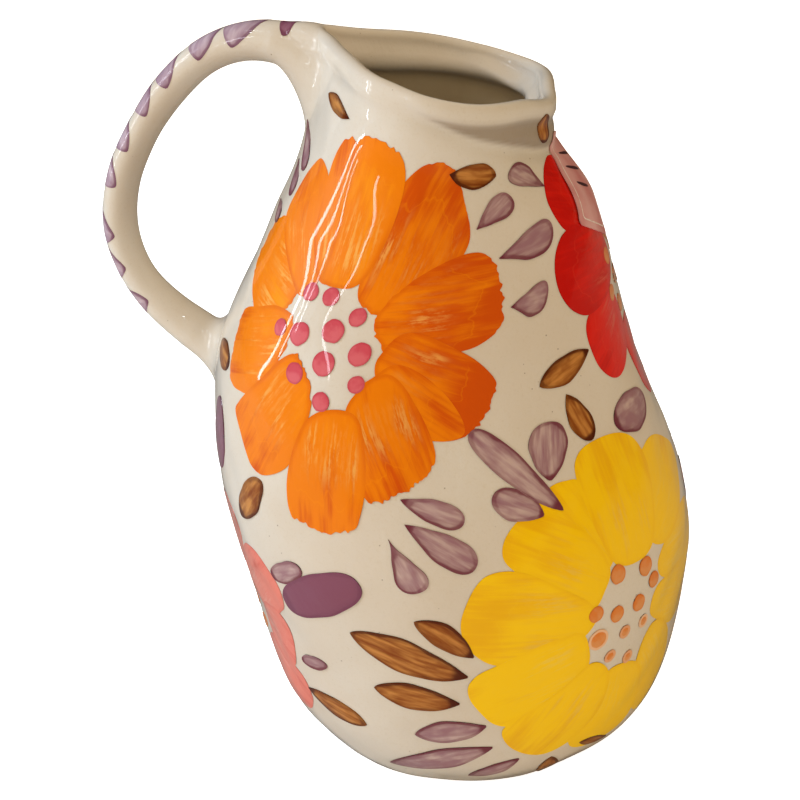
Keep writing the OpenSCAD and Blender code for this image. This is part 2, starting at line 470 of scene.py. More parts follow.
# ---------------------------------------------------------------- glazed body
AROUND = 288
LIP_T = WALL_T + 0.6    # thickness of the rolled lip
THROAT_T = 8.2          # thickness of the band under it
INNER_T = 2.8           # thickness below the band
THROAT_S = 0.963        # height share where the band ends
INNER_LOW_S = 0.075     # height share where the inside starts to curve into the floor
FLOOR_CURVE = 0.16      # share of the inside's radius that this curve takes
FOOT_ROUND = 3.0        # rounding between the underside and the wall


def lip(turn, a):
    """Points and normals of the rolled lip. turn is 0 outside, 90 on top and 180 inside."""
    edge, out = skin(1.0, a), out_of(smooth_skin, 1.0, a)
    up = unit(smooth_skin(1.0, a) - smooth_skin(0.995, a))
    half = LIP_T / 2
    turn = np.radians(np.asarray(turn, float))[..., None]
    normal = out * np.cos(turn) + up * np.sin(turn)
    return edge - half * out + half * normal, normal


def pitcher_body(material):
    a = np.arange(AROUND) * 360 / AROUND
    foot_s = FOOT_H / (VESSEL_H - WALL_T / 2)
    corner = skin(foot_s, a)
    corner[:, 2] = FOOT_H
    wall_start = foot_s + FOOT_ROUND / VESSEL_H
    wall_end = skin(wall_start, a)
    flat = corner * [0.95, 0.95, 1]
    rings = [corner * [share, share, 1] for share in (0.15, 0.4, 0.7, 0.88)]
    rings += [flat * (1 - t) ** 2 + corner * 2 * t * (1 - t) + wall_end * t ** 2
              for t in np.linspace(0, 1, 7)[:-1]]
    first_wall, walls = len(rings), np.linspace(wall_start, 1, 190)
    rings += [skin(s, a) for s in walls]
    rings += [lip(turn, a)[0] for turn in np.linspace(0, 180, 14)[1:]]

    def inner(s):
        """The inside of the wall: a band under the lip, a small step, then the thin wall."""
        band = ease((s - THROAT_S + 0.005) / 0.010)
        band_depth = LIP_T + (THROAT_T - LIP_T) * ease((1 - s) / 0.022)
        depth = INNER_T + (band_depth - INNER_T) * band
        return skin(s, a) - depth * out_of(smooth_skin, s, a)

    inside = len(rings)
    depths = np.linspace(0.997, INNER_LOW_S, 150)
    rings += [inner(s) for s in depths]
    edge = inner(INNER_LOW_S)
    level = FOOT_H + FLOOR_T
    centre = np.array([edge[:, 0].mean(), 0, 0])
    for t in np.linspace(0, 1, 12)[1:]:
        share = 1 - FLOOR_CURVE * sin(t * pi / 2)
        z = edge[:, 2] * (1 - t) ** 2 + level * (1 - (1 - t) ** 2)
        ring = centre + (edge - centre) * share
        ring[:, 2] = z
        rings.append(ring)
    for share in (0.8, 0.5, 0.2, 0.05):
        ring = centre + (edge - centre) * (1 - FLOOR_CURVE) * share
        ring[:, 2] = level
        rings.append(ring)
    # Darker glaze colour that stands in for shade: below the band inside, and under the lip
    marks = np.zeros((len(rings), AROUND, 3))
    marks[inside:, :, 0] = 1
    marks[inside:inside + len(depths), :, 0] = ease((THROAT_S + 0.003 - depths) / 0.010)[:, None]
    for row, s in enumerate(walls, first_wall):
        marks[row, :, 1] = shaded_glaze(s, a)
    body = make_object("pitcher_body", np.concatenate(rings), ring_faces(len(rings), AROUND),
                       material, attributes=[("glaze", marks)])
    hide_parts("vessel")


# ---------------------------------------------------------------- handle
GRIP_AROUND = 72
GRIP_TURN = np.arange(GRIP_AROUND) * 2 * pi / GRIP_AROUND
GRIP_START, GRIP_END = 1.05, 6.0    # stations of the plain part, between the two blends
GRIP_PAINT_R = GRIP_T / 2 * 1.08    # radius at which paint is measured round the handle


def grip_ring(u):
    """A ring of the handle's plain part. It starts on the outer side and turns to the back."""
    def centre(v):
        return np.array([BELLY_R * grip_x(v), 0, VESSEL_H * grip_z(v)])
    along = unit(centre(u + 0.02) - centre(u - 0.02))
    side = np.cross([0, 1, 0], along)
    r = GRIP_T / 2 * grip_size(u)
    ring = (centre(u) + np.outer(r * np.cos(GRIP_TURN), side)
            + np.outer(r * GRIP_RATIO * np.sin(GRIP_TURN), [0, 1, 0]))
    return ring, along


def joint_surface(down, a, depth):
    """Points of the vessel at a distance down from the lip's outer edge, or over the lip if it is
    less than 0, at a depth under the glaze."""
    down, a = np.broadcast_arrays(np.asarray(down, float), np.asarray(a, float))
    s = 1 - np.maximum(down, 0) / (VESSEL_H - WALL_T / 2)
    on_wall = skin(s, a, -depth)
    turn = np.degrees(np.maximum(-down, 0) / (WALL_T / 2))
    rolled, normal = lip(turn, a)
    return np.where((down < 0)[..., None], rolled - depth * normal, on_wall)


def landing(spot, way, grow, depth):
    """The oval where the handle's clay meets the vessel, scaled by grow. way is 1 if the handle's
    outer side lands at the top, and -1 if it lands at the bottom."""
    down = spot["down"] - way * spot["height"] * np.cos(GRIP_TURN) * grow
    s = 1 - np.maximum(spot["down"], 0) / VESSEL_H
    wide = spot["width"] * np.sin(GRIP_TURN) * grow
    a = 180 - np.degrees(wide / (BELLY_R * wall_radius(s)))
    return joint_surface(down, a, depth)


def blend(start, direction, spot, way, rows):
    """Rings that carry the handle's ring over to the vessel, so that it lands flat on it."""
    end = landing(spot, way, 1.0, 0.02)
    end_way = unit(landing(spot, way, 1.04, 0.02) - landing(spot, way, 0.96, 0.02))
    rings = []
    for t in np.linspace(0, 1, rows + 1)[1:]:
        rings.append(start * (1 + 2 * t) * (1 - t) ** 2 + end * t ** 2 * (3 - 2 * t)
                     + direction * spot["pull"] * t * (1 - t) ** 2
                     - end_way * spot["spread"] * t ** 2 * (1 - t))
    rings.append(landing(spot, way, 1.05, 0.35))
    rings += [landing(spot, way, grow, 1.4) for grow in (0.98, 0.75, 0.5, 0.25, 0.06)]
    return rings


UPPER_SPOT = dict(down=10.5, height=15, width=15.5, pull=15, spread=19)
LOWER_SPOT = dict(down=103, height=34, width=28, pull=24, spread=62)


def handle_rings():
    first, first_way = grip_ring(GRIP_START)
    last, last_way = grip_ring(GRIP_END)
    upper = blend(first, -first_way, UPPER_SPOT, 1, 20)
    lower = blend(last, last_way, LOWER_SPOT, -1, 24)
    plain = [grip_ring(u)[0] for u in np.linspace(GRIP_START, GRIP_END, 130)]
    rings = np.array(upper[::-1] + plain + lower)
    wave = hand_wave(rings) * 0.6
    centres = rings.mean(axis=1, keepdims=True)
    fade_in = np.zeros(len(rings))
    fade_in[len(upper):len(upper) + len(plain)] = np.sin(np.linspace(0, pi, len(plain))) ** 0.3
    return rings + unit(rings - centres) * (wave * fade_in[:, None])[..., None], len(upper)


def pitcher_handle(rings, material):
    verts = rings.reshape(-1, 3)
    faces = ring_faces(len(rings), GRIP_AROUND)
    # Darker glaze colour that stands in for shade, on the upper part's side to the opening
    centres = rings.mean(axis=1, keepdims=True)
    inward = unit(centres.mean(axis=0) - centres)
    facing = (unit(rings - centres) * inward).sum(axis=-1)
    down = np.linspace(0, 1, len(rings))
    upper_part = ease(down / 0.2) * ease((0.72 - down) / 0.25)
    marks = np.zeros(rings.shape)
    marks[..., 1] = 0.75 * ease((facing + 0.1) / 1.0) * upper_part[:, None]
    handle = make_object("pitcher_handle", verts, faces, material, attributes=[("glaze", marks)])
    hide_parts("handle", "upper_handle_joint", "lower_handle_joint")


def handle_place(rings, first_row, distance):
    """A function from flat millimetres to points and normals of the handle: x runs round it from
    its outer side to the back, and y along it from a distance down from the upper blend."""
    lengths = walked(rings.mean(axis=1))
    lengths -= lengths[first_row]
    ahead, behind = np.roll(rings, -1, axis=1), np.roll(rings, 1, axis=1)
    normals = unit(np.cross(ahead - behind, np.gradient(rings, axis=0)))

    def sample(grid, row, column):
        i, j = np.floor(row).astype(int), np.floor(column).astype(int)
        p, q = (row - i)[:, None], (column - j)[:, None]
        j0, j1 = j % GRIP_AROUND, (j + 1) % GRIP_AROUND
        return ((grid[i, j0] * (1 - q) + grid[i, j1] * q) * (1 - p)
                + (grid[i + 1, j0] * (1 - q) + grid[i + 1, j1] * q) * p)

    def place(x, y, lift):
        row = np.interp(distance + y, lengths, np.arange(len(rings)))
        column = x / GRIP_PAINT_R * GRIP_AROUND / (2 * pi)
        normal = unit(sample(normals, row, column))
        return sample(rings, row, column) + normal * lift, normal
    return place


# ---------------------------------------------------------------- brush strokes
FILM_LIFT = 0.06     # height of the first layer of paint over the glaze
LAYER = 0.018        # step from one layer to the next
FILM_DEPTH = 0.15    # how far a film reaches under the glaze

PETAL, DROP, LEAF, DAB, BLOB, DOT = (
    (0.52, 0.36), (0.45, 1.25), (0.80, 0.95), (0.55, 0.55), (0.40, 0.40), (0.50, 0.50))


def brush_shape(length, width, shape, rng):
    """Outline of a plain brush stroke along +x, from its root at 0 to its tip. shape holds how
    blunt the two ends are."""
    x = (1 - np.cos(np.linspace(0, pi, 400))) / 2
    root, tip = shape
    peak = root / (root + tip)
    half = width / 2 * (x / peak) ** root * ((1 - x) / (1 - peak)) ** tip
    points = np.concatenate([np.stack([x * length, -half], -1),
                             np.stack([x * length, half], -1)[-2:0:-1]])
    share, bow = points[:, 0] / length, rng.uniform(-1, 1, 3)
    points[:, 1] += width * 0.02 * (bow[0] * np.sin(3 * pi * share)
                                    + bow[1] * np.sin(2 * pi * share))
    points[:, 1] += np.sign(points[:, 1]) * width * 0.012 * np.sin(
        5 * pi * share + bow[2] * 3) * np.sin(pi * share)
    return points


def round_outline(corners):
    """A closed smooth curve through a few points."""
    p = np.asarray(corners, float)
    before, after, beyond = np.roll(p, 1, axis=0), np.roll(p, -1, axis=0), np.roll(p, -2, axis=0)
    t = np.arange(24)[:, None, None] / 24
    curve = (p + t * (after - before) / 2
             + t ** 2 * (before - 2.5 * p + 2 * after - beyond / 2)
             + t ** 3 * (-before + 3 * p - 3 * after + beyond) / 2)
    return curve.transpose(1, 0, 2).reshape(-1, 2)


def finish_outline(points, width, teeth, rng):
    """Adds hairs to the two ends of an outline, and spaces its points for meshing. teeth holds how
    far the hairs stick out at the root and at the tip."""
    x, y = points.T
    if (x * np.roll(y, -1) - y * np.roll(x, -1)).sum() < 0:
        points = points[::-1]
    along = np.roll(points, -1, axis=0) - np.roll(points, 1, axis=0)
    facing = along[:, 1] / np.maximum(np.linalg.norm(along, axis=1), 1e-9)
    pitch = 0.9
    slots = int(width * 1.6 / pitch) + 8
    combed = np.zeros(len(points))
    moved = points.copy()
    for side, reach in zip((-1, 1), teeth):
        heights = rng.uniform(-1, 1, slots) * np.where(rng.uniform(size=slots) < 0.45, 1, 0.35)
        row = (points[:, 1] + width * 0.8) / pitch + 3
        near = ease((side * facing - 0.45) / 0.35) * (reach > 0)
        moved[:, 0] += side * reach * np.interp(row, np.arange(slots), heights) * near
        combed = np.maximum(combed, near)
    closed = np.concatenate([moved, moved[:1]])
    steps = np.linalg.norm(np.diff(closed, axis=0), axis=1)
    weight = np.concatenate([[0], np.cumsum(steps / np.where(combed > 0.1, 0.42, 0.9))])
    count = max(int(weight[-1]), 14)
    at = np.arange(count) * weight[-1] / count
    return np.stack([np.interp(at, weight, closed[:, k]) for k in (0, 1)], -1)


def fill(outline, spacing):
    """Triangles that fill an outline, with evenly spread points inside it."""
    low, high = outline.min(axis=0), outline.max(axis=0)
    ys = np.arange(low[1], high[1], spacing * 0.866)
    grid = np.array([(x + (k % 2) * spacing / 2, y) for k, y in enumerate(ys)
                     for x in np.arange(low[0], high[0], spacing)])
    a, b = outline, np.roll(outline, -1, axis=0)
    crosses = (a[:, 1] > grid[:, None, 1]) != (b[:, 1] > grid[:, None, 1])
    with np.errstate(divide="ignore", invalid="ignore"):
        at = a[:, 0] + (grid[:, None, 1] - a[:, 1]) * (b[:, 0] - a[:, 0]) / (b[:, 1] - a[:, 1])
    inside = (crosses & (grid[:, None, 0] < at)).sum(axis=1) % 2 == 1
    gap = np.linalg.norm(grid[:, None] - outline[None], axis=2).min(axis=1)
    points = np.concatenate([outline, grid[inside & (gap > spacing * 0.45)]])
    loop = [list(range(len(outline)))]
    flat, _, faces, *_ = geometry.delaunay_2d_cdt([Vector(p) for p in points], [], loop, 1, 1e-6)
    flat = np.array([tuple(v) for v in flat])
    edge = np.linalg.norm(flat[:, None] - outline[None], axis=2).min(axis=1)
    return flat, [tuple(f) for f in faces], edge


def stroke(place, root, tip, width, shape, tone=0.0, bend=0.0, teeth=(0, 0)):
    """One brush stroke, from root to tip in the flat millimetres of place. shape is how blunt its
    ends are, or the points of its outline."""
    return dict(place=place, root=root, tip=tip, width=width, shape=shape, tone=tone, bend=bend,
                teeth=teeth)


def flatten(item, rng, spacing):
    """A stroke's filled outline, along and across its own axis, and its points in the flat
    millimetres of its place."""
    root, tip = np.array(item["root"], float), np.array(item["tip"], float)
    length = np.linalg.norm(tip - root)
    way = (tip - root) / length
    aside = np.array([-way[1], way[0]])
    if len(item["shape"]) == 2:
        outline = brush_shape(length, item["width"], item["shape"], rng)
    else:
        drawn = round_outline(item["shape"]) - root
        outline = np.stack([drawn @ way, drawn @ aside], -1)
    outline = finish_outline(outline, item["width"], item["teeth"], rng)
    own, triangles, edge = fill(outline, spacing if item["width"] > 8 else min(spacing, 1.3))
    share = own[:, 0] / length
    arch = item["bend"] * 4 * share * (1 - share)
    flat = root + np.outer(own[:, 0], way) + np.outer(own[:, 1] + arch, aside)
    return own, flat, triangles, edge, share


def film(name, strokes, material, first_layer=0, layers=1, spacing=2.0):
    """A piece made of brush strokes, each a thin closed film. Later strokes lie over earlier, and
    take turns in that many layers."""
    verts, faces, normals, marks, paints = [], [], [], [], []
    start = 0
    for number, item in enumerate(strokes):
        rng = np.random.default_rng(len(name) * 1000 + number)
        own, flat, triangles, edge, share = flatten(item, rng, spacing)
        lift = FILM_LIFT + LAYER * (first_layer + number % layers)
        top, normal = item["place"](flat[:, 0], flat[:, 1], lift)
        bottom, _ = item["place"](flat[:, 0], flat[:, 1], -FILM_DEPTH)
        count = len(flat)
        faces += sheet_faces(triangles, count, start)
        seed = rng.uniform(0, 10)
        mark = np.stack([own[:, 0], own[:, 1], np.full(count, seed)], -1)
        paint = np.stack([share, edge, np.full(count, item["tone"])], -1)
        verts += [top, bottom]
        normals += [normal, normal]
        marks += [mark, mark]
        paints += [paint, paint]
        start += 2 * count
    return make_object(name, np.concatenate(verts), faces, material, np.concatenate(normals),
                       [("stroke", np.concatenate(marks)), ("paint", np.concatenate(paints))])


def dots(place, rows):
    """Round dabs from rows of x, y, radius and, where it has one, the share of a pale halo."""
    return [stroke(place, (x - r, y), (x + r, y), 2 * r, DOT, *halo) for x, y, r, *halo in rows]


# ---------------------------------------------------------------- painting
# Where the painting is laid out from: the front, then the back and the gaps between its flowers
SIDE, FRONT, LEFT = vessel_place(0.60, -96), vessel_place(0.66, -12), vessel_place(0.30, -150)
LOW_FRONT, FOOT = vessel_place(0.28, -18), vessel_place(0.12, -70)
NECK, SPOUT = vessel_place(0.88, -110), vessel_place(0.95, -11)
BACK, HIGH_BACK = vessel_place(0.64, 94), vessel_place(0.90, 95)
LOW_SIDE, LOW_BACK = vessel_place(0.27, 52), vessel_place(0.25, 128)
GAP, LOW_GAP, UNDER = vessel_place(0.60, 45), vessel_place(0.10, 90), vessel_place(0.34, 174)

TORN, COMBED, CLEAN, FRAYED = (0.9, 0.9), (0, 0.9), (0, 0), (0.9, 0)

# Petals: root, tip, tone, hairs at the root and the tip, and the points of the outline. The deeper
# tones of the orange petals on the right are painted shade, which the turned copies on the back
# repeat.
ORANGE_PETALS = [
    ((-24, 38), (-53, 47), -0.10, TORN,
     [(-22, 40), (-28, 31), (-40, 29), (-47, 33), (-52, 38), (-54.5, 44), (-54, 50), (-51, 55),
      (-45, 60), (-38, 62), (-30, 58), (-22, 50)]),
    ((-20, 24), (-53, 16), -0.05, TORN,
     [(-20, 26), (-25, 14), (-36, 5), (-43, 3.8), (-48, 4.2), (-52, 7), (-53, 13), (-53, 22),
      (-52.5, 27), (-49, 30), (-42, 32), (-30, 35), (-20, 33)]),
    ((-20, 43), (-31, 80), 0.00, CLEAN,
     [(-20, 40), (-28, 46), (-35, 55), (-39, 63), (-38.5, 69), (-36.5, 74), (-33, 77.3),
      (-29, 79), (-24, 78), (-20, 75), (-16, 66), (-14, 54), (-15, 44)]),
    ((-12, 46), (-13, 87), 0.02, COMBED,
     [(-11, 45), (-16, 48), (-20, 58), (-20.6, 70), (-20, 79), (-17, 84.5), (-13, 87), (-9, 87),
      (-6, 84), (-4, 70), (-5, 50)]),
    ((6, 40), (20, 86), 0.20, TORN,
     [(2, 41), (8, 37.5), (13, 38), (18, 43), (25, 49), (31, 53), (33.3, 58), (33, 63),
      (31, 69), (28.5, 76), (25, 83), (21, 87), (16, 86), (12, 81.5), (9, 76), (5, 64), (1, 48)]),
    ((11, 35), (50, 37), 0.26, TORN,
     [(9, 36), (13, 27), (20, 23), (30, 23), (39, 24.5), (44, 25.7), (49, 29), (50, 33),
      (49, 38), (46.5, 44), (44, 49.5), (41, 53), (37, 55), (31, 54.5), (23, 51), (15, 45)]),
    ((-6, 45), (1, 90), -0.12, COMBED,
     [(-13.3, 48), (-11.5, 45.2), (-6, 44.4), (-1, 45.2), (3, 49), (6, 56), (9, 66), (10.3, 76),
      (9.8, 83), (7.5, 88), (3, 90), (-3, 90), (-7.5, 88), (-9, 82), (-10, 72), (-11.5, 60)]),
    ((-10, 14), (-37, -18), 0.02, FRAYED,
     [(-9, 15), (-7, 8), (-9, 0), (-13, -7), (-17, -13.5), (-21, -17), (-27, -20), (-33, -21.6),
      (-38, -20), (-40.5, -16), (-43, -10), (-45.5, -3.5), (-43, 0), (-38, 4.5), (-30, 11),
      (-22, 19), (-16, 22), (-12, 19)]),
    ((13, 22), (52, 7), 0.28, COMBED,
     [(13, 20), (14.5, 26), (18, 30.5), (23, 31.5), (30, 29), (38, 25), (44, 21.5), (50, 16.5),
      (52.8, 12.5), (51.5, 8), (50, 4), (47, 0), (42, -2.7), (35, -3), (26, 0), (18, 8)]),
    ((10, 15), (36, -3), 0.12, CLEAN,
     [(9, 13), (13, 17.5), (19, 21.5), (27, 19), (36, 12), (42, 4), (43, -1.5), (38, -3.2),
      (31, -2.6), (22, -2), (14, 4)]),
    ((8, 10), (18, -22), 0.14, COMBED,
     [(5.5, 7), (8.5, 12.5), (13, 17.2), (18, 18.5), (23, 15), (28, 8), (32, 0), (33.7, -7),
      (32, -12), (27, -16), (22, -19), (16, -21.5), (12, -22), (9, -20.5), (7, -12), (5, -2)]),
    ((0, 6.5), (-8, -35), 0.02, COMBED,
     [(-9.5, 1), (-5, 4.7), (0, 6.4), (5, 6.6), (9, 5), (11, 0), (11.3, -10), (9.5, -20),
      (7, -27), (4, -32), (-2, -33.7), (-9, -35), (-15, -34), (-20, -32.5), (-21.3, -29),
      (-20, -21), (-17, -13), (-13, -5)]),
]
YELLOW_PETALS = [
    ((-4, 15), (36, 16), -0.55, CLEAN,
     [(-4, 18), (4, 24), (16, 28), (28, 27), (36, 21), (37, 13), (30, 6), (16, 5), (2, 8),
      (-4, 12)]),
    ((-8, 4), (26, -8), -0.60, CLEAN,
     [(-6, 8), (6, 9), (18, 8), (26, 2), (28, -8), (21, -16), (8, -15), (-4, -7), (-10, 0)]),
    ((-3, 26), (30, 44), -0.05, CLEAN,
     [(-7, 27), (2, 22), (14, 26), (26, 33), (34, 39), (33, 45), (27, 50), (20, 54), (13, 56),
      (7, 55.5), (2, 53), (-3, 40)]),
    ((-28, 28), (-40, 58), 0.12, CLEAN,
     [(-30, 25), (-22, 34), (-24, 46), (-29, 56), (-34, 57.8), (-40, 57.5), (-46, 54), (-51, 49),
      (-48, 40), (-42, 32), (-36, 26)]),
    ((-16, 24), (-14, 66), 0.10, CLEAN,
     [(-27, 27), (-22, 23.5), (-16, 22.5), (-10, 23), (-5, 27), (0, 38), (4, 50), (3.5, 57),
      (0, 62), (-6, 65), (-14, 66.2), (-22, 65.8), (-27, 63.5), (-29.8, 59), (-30.5, 50),
      (-30, 38)]),
    ((-33, 22), (-62, 42), 0.12, CLEAN,
     [(-33, 18), (-29, 26), (-34, 40), (-45, 50), (-53, 50), (-59, 46.5), (-63, 42),
      (-64.3, 37.5), (-62, 33), (-54, 24), (-44, 16), (-38, 13)]),
    ((-8, -8), (6, -34), -0.45, CLEAN,
     [(-14, -14), (-16, -26), (-12, -40), (-6, -47), (2, -44), (8, -37), (11, -28), (8, -18),
      (0, -9), (-8, -7)]),
    ((-22, -16), (-26, -52), -0.10, CLEAN,
     [(-30, -16), (-36, -28), (-40, -40), (-38, -48), (-31, -52), (-22, -52), (-14, -49),
      (-10, -42), (-10, -30), (-14, -20), (-22, -15.5)]),
    ((-40, 10), (-83, 16), 0.14, CLEAN,
     [(-37, 9), (-39, 16), (-48, 24), (-57, 31), (-63, 33.5), (-69, 33.6), (-74, 31.5),
      (-79, 26), (-83, 18), (-83, 11), (-80, 5), (-74, 0), (-66, -2), (-54, 0), (-43, 3)]),
    ((-41, -2), (-80, -14), -0.02, CLEAN,
     [(-42, 5), (-52, 5.5), (-62, 3), (-72, -1), (-78, -4), (-81, -9), (-80, -15), (-76, -21),
      (-71, -26.5), (-65, -28.5), (-56, -26), (-46, -18), (-39, -10)]),
    ((-35, -13), (-56, -46), 0.10, CLEAN,
     [(-39, -9), (-48, -16), (-58, -23), (-66, -28), (-67.3, -32), (-64, -38), (-59, -43),
      (-53, -46.5), (-47, -48), (-41, -46), (-35, -40), (-30, -30), (-29, -18), (-33, -11)]),
]
RED_PETALS = [
    ((12, 44), (-12, 54), 0.10, CLEAN,
     [(4, 36), (-6, 37), (-12, 39.5), (-14.7, 44), (-15, 50), (-13, 55), (-9, 61), (-4, 66),
      (3, 69), (10, 66), (15, 56), (13, 44)]),
    ((26, -4), (22, -31), 0.00, CLEAN,
     [(14, -8), (14, -15), (16, -22), (20, -28), (26, -32), (32, -30), (35, -22), (34, -10),
      (28, -2), (18, -3)]),
    ((12, 4), (-11, -6), 0.05, CLEAN,
     [(-10, 10), (-13.5, 6), (-14, 0), (-12, -8), (-8, -13), (-3, -15.2), (3, -14.5),
      (10, -11.5), (16, -8), (18, -1), (15, 7), (8, 13), (-2, 13)]),
    ((14, 26), (-22, 26), 0.25, CLEAN,
     [(16, 24), (13, 34), (3, 39), (-7, 40.5), (-14, 39.3), (-19, 35), (-21.8, 29),
      (-22.2, 22), (-20, 16), (-16, 12), (-10, 9.7), (0, 11), (10, 15)]),
]


PETAL_WIDTH = 26    # of a drawn petal, as its hairs are spread over it
ORANGE_MIDDLE_Y = 26
OVER_PETALS = 13    # a layer above all petals


def drawn_petals(place, rows):
    """Petals from rows like the ones above."""
    return [stroke(place, root, tip, PETAL_WIDTH, outline, tone, 0, teeth)
            for root, tip, tone, teeth, outline in rows]


def turned(rows, angle, size):
    """Rows of the orange flower, turned about its middle and scaled, with that middle at 0."""
    c, s = cos(radians(angle)) * size, sin(radians(angle)) * size

    def turn(x, y):
        y -= ORANGE_MIDDLE_Y
        return c * x - s * y, s * x + c * y
    return [(turn(*root), turn(*tip), tone, teeth, [turn(*point) for point in outline])
            for root, tip, tone, teeth, outline in rows]


def plain_petals(place, rows, tone=0.0):
    """Petals from rows of root, tip and width."""
    return [stroke(place, root, tip, width, PETAL, tone) for root, tip, width in rows]


def strokes_at(rows_by_place, *usual):
    """Strokes from rows of root, tip, width, shape, tone and bend. A row may end after its width
    or its shape, and the rest is then as usual."""
    return [stroke(place, *row, *usual[len(row) - 3:])
            for place, rows in rows_by_place for row in rows]


def flower(name, petals, paint, place, dot_rows, dot_colour, gap=1):
    """A flower's petals, each in a layer of its own, and its dots, with gap layers left out
    between the petals and the dots."""
    film(name, petals, paint, layers=len(petals))
    film(name + "_dots", dots(place, dot_rows), dot_colour, len(petals) + gap)


def pitcher_painting():
    orange = petal_paint("orange_paint", (212, 82, 0), (240, 128, 0), (250, 150, 4), (246, 184, 90))
    yellow = petal_paint("yellow_paint", (244, 184, 0), (255, 206, 0), (252, 204, 30),
                         (244, 210, 100), 0.4, 0.3)
    red = petal_paint("red_paint", (200, 10, 0), (226, 24, 4), (232, 72, 46), (232, 116, 92), 0.5)
    coral = petal_paint("coral_paint", (216, 92, 74), (234, 130, 112), (242, 166, 148),
                        (244, 196, 180), 0.5)
    purple = drop_paint("purple_paint", (112, 46, 60), (156, 114, 122), (202, 176, 168))
    plum = drop_paint("plum_paint", (120, 66, 88), (134, 78, 98), (160, 116, 134))
    brown = drop_paint("brown_paint", (78, 24, 2), (134, 64, 8), (204, 138, 66), 0.84)
    pink = dot_paint("raspberry_paint", (206, 78, 90), (186, 58, 74), (216, 102, 110),
                     (230, 170, 170))
    amber = dot_paint("amber_paint", (226, 128, 50), (214, 104, 20), (226, 150, 86),
                      (238, 190, 150))

    flower("orange_flower", drawn_petals(SIDE, ORANGE_PETALS), orange, SIDE, [
        (-16, 42, 3.0), (-8, 41.5, 3.0), (3, 36, 3.0), (-4, 31, 3.8), (-16, 28.5, 3.8),
        (-25, 29, 2.8), (7, 24.5, 3.8), (-4.5, 20.5, 4.0), (-15, 16, 3.5), (8, 15, 2.8),
        (-3.5, 8.5, 3.2),
    ], pink)
    turned_petals = drawn_petals(BACK, turned(ORANGE_PETALS, 140, 0.92))
    flower("back_orange_flower", turned_petals, orange, BACK, [
        (1, 2, 3.8), (-11, 6, 3.0), (12, 5, 3.4), (-4, 15, 3.0), (7, 14, 2.8), (-8, -7, 3.4),
        (4, -10, 3.6), (15, -6, 2.8), (-17, -2, 3.0), (-1, -18, 3.0),
    ], pink)
    flower("yellow_flower", drawn_petals(LOW_FRONT, YELLOW_PETALS), yellow, LOW_FRONT, [
        (-26, 22, 3.5), (-37, 11, 3.0), (-28, 7.5, 3.0), (-17, 7, 3.2), (-12, 19, 3.5),
        (-8, 12, 3.0), (-36, 0.5, 4.0, 1.0), (-24, -1.5, 2.6, 0.5), (-14, -2, 2.6, 1.0),
        (-30, -9, 2.5, 0.6), (-21, -13.5, 2.5, 0.6),
    ], amber, 2)
    hidden_petals = plain_petals(FRONT, [
        ((34, -2), (54, -26), 26), ((38, 10), (66, 4), 27), ((38, 22), (66, 36), 27),
        ((30, 34), (48, 62), 26), ((20, 38), (20, 70), 26),
    ], 0.1)
    flower("red_flower", hidden_petals + drawn_petals(FRONT, RED_PETALS), red, FRONT, [
        (20, 15, 3.6), (12, 24, 3.0), (27, 25, 3.2), (30, 12, 3.0), (20, 4, 3.2), (10, 11, 3.0),
        (20, 31, 3.0),
    ], amber)
    flower("coral_flower", plain_petals(LEFT, [
        ((-2, -28), (2, -56), 26), ((-14, -20), (-36, -40), 26), ((-16, -8), (-42, -8), 26),
        ((-10, 4), (-30, 24), 26), ((4, 6), (8, 32), 26), ((14, -4), (38, 17), 26),
        ((12, -24), (37, -42), 24), ((16, -12), (38, -17), 26),
    ]), coral, LEFT, [
        (2, -12, 3.6), (-5, -4, 3.0), (8, -3, 3.0), (-6, -17, 3.0), (8, -20, 3.0), (1, -24, 2.6),
    ], amber)
    flower("back_coral_flower", plain_petals(LOW_SIDE, [
        ((2, 12), (6, 40), 26), ((-10, 8), (-28, 30), 26), ((-14, -2), (-41, 2), 27),
        ((-9, -12), (-30, -30), 26), ((2, -14), (-2, -41), 26), ((12, -10), (28, -32), 26),
        ((15, 0), (42, -6), 26), ((11, 9), (34, 24), 27),
    ]), coral, LOW_SIDE, [
        (0, 1, 3.6), (-7, 5, 3.0), (6, 7, 3.0), (8, -3, 3.0), (0, -9, 3.0), (-8, -5, 2.8),
    ], amber)
    flower("back_yellow_flower", plain_petals(LOW_BACK, [
        ((0, 13), (-3, 40), 25), ((-10, 8), (-30, 27), 25), ((-14, -3), (-42, -5), 26),
        ((-8, -12), (-24, -33), 25), ((4, -14), (8, -42), 26), ((13, -6), (38, -18), 26),
        ((13, 5), (38, 16), 26), ((8, 11), (22, 36), 24),
    ], 0.05), yellow, LOW_BACK, [
        (1, 0, 3.6), (-8, 4, 3.0), (7, 6, 3.0), (-2, 9, 2.6), (9, -5, 3.0), (-6, -7, 3.0),
    ], amber)

